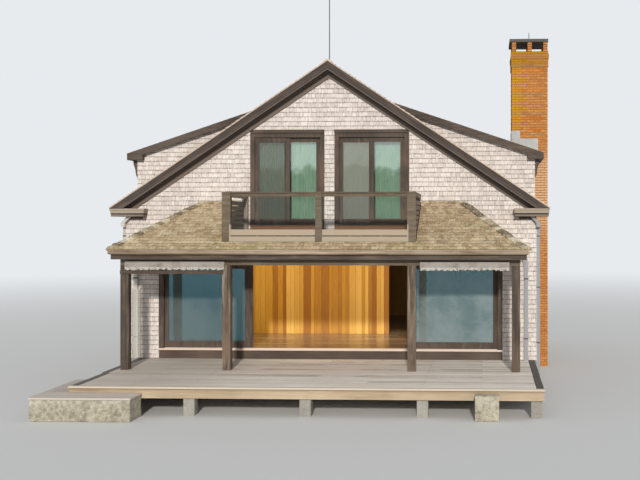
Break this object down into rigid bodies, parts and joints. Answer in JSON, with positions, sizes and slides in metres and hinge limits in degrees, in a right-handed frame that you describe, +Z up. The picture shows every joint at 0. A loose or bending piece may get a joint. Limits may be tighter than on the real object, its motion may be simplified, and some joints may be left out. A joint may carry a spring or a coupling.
{
  "type": "beach house",
  "caption": "Shingled beach house with a hipped front porch, a balcony in the porch roof, shed dormers, a brick chimney, sliding front doors and a wooden deck.",
  "frame": {"origin": "On the ground under the middle of the front wall's outer face, at the foot of the foundation", "axes": "+X to the right along the front, +Y from the front to the back, +Z up"},
  "size_m": [10.555, 13.975, 9.14],
  "materials": {
    "concrete": "rough",
    "brick": "rough",
    "wall_shingle": "weathered",
    "roof_shingle": "weathered",
    "porch_shingle": "weathered",
    "trim": "weathered stain",
    "weathered_board": "weathered",
    "deck_board": "weathered",
    "pale_board": "weathered",
    "frame_timber": "rough",
    "panelling": "satin",
    "floorboard": "polished",
    "ceiling_board": "satin",
    "glass": "clear",
    "curtain_cloth": "soft",
    "canvas": "soft",
    "white_pipe": "satin",
    "grey_metal": "dull",
    "granite": "rough"
  },
  "bodies": {
    "root": {"foundation": "concrete", "house_floor": "floorboard", "upper_floor": "ceiling_board", "panel_wall": "panelling", "front_wall_piers": "wall_shingle", "front_gable": "wall_shingle", "rear_gable": "wall_shingle", "left_wall": "wall_shingle", "right_wall": "wall_shingle", "dormer_cheeks": "wall_shingle", "dormer_walls": "wall_shingle", "main_roof_left": "roof_shingle", "main_roof_right": "roof_shingle", "dormer_roof_left": "roof_shingle", "dormer_roof_right": "roof_shingle", "rake_boards_left": "trim", "rake_boards_right": "trim", "cornices": "trim", "dormer_fascias": "trim", "mast": "grey_metal", "chimney": "brick", "chimney_cap": "brick", "chimney_flashing": "grey_metal", "upper_door_frames": "trim", "curtains": "curtain_cloth", "window_frames": "trim", "window_glass": "glass", "porch_roof_left": "porch_shingle", "porch_roof_right": "porch_shingle", "porch_roof_front": "porch_shingle", "porch_ceiling": "ceiling_board", "porch_beams": "weathered_board", "porch_frieze": "trim", "porch_posts": "trim", "gutters": "weathered_board", "downspouts": "white_pipe", "awnings": "canvas", "awning_rail": "trim", "balcony_floor": "deck_board", "balcony_front_rail": "weathered_board", "balcony_side_rails": "weathered_board", "balcony_glass": "glass", "door_head": "trim", "door_sill": "pale_board", "side_lights": "trim", "porch_floor": "deck_board", "deck_floor": "deck_board", "deck_fascia": "pale_board", "deck_joists": "frame_timber", "deck_piers": "concrete", "step_boards": "deck_board", "granite_blocks": "granite"},
    "left_door": {"left_door": "trim", "left_door_glass": "glass"},
    "right_door": {"right_door": "trim", "right_door_glass": "glass"}
  },
  "joints": [
    {"name": "left_door_slide", "type": "slide", "parent": "root", "child": "left_door", "axis": [1, 0, 0], "range_m": [0, 1.832]},
    {"name": "right_door_slide", "type": "slide", "parent": "root", "child": "right_door", "axis": [-1, 0, 0], "range_m": [0, 1.832]}
  ]
}
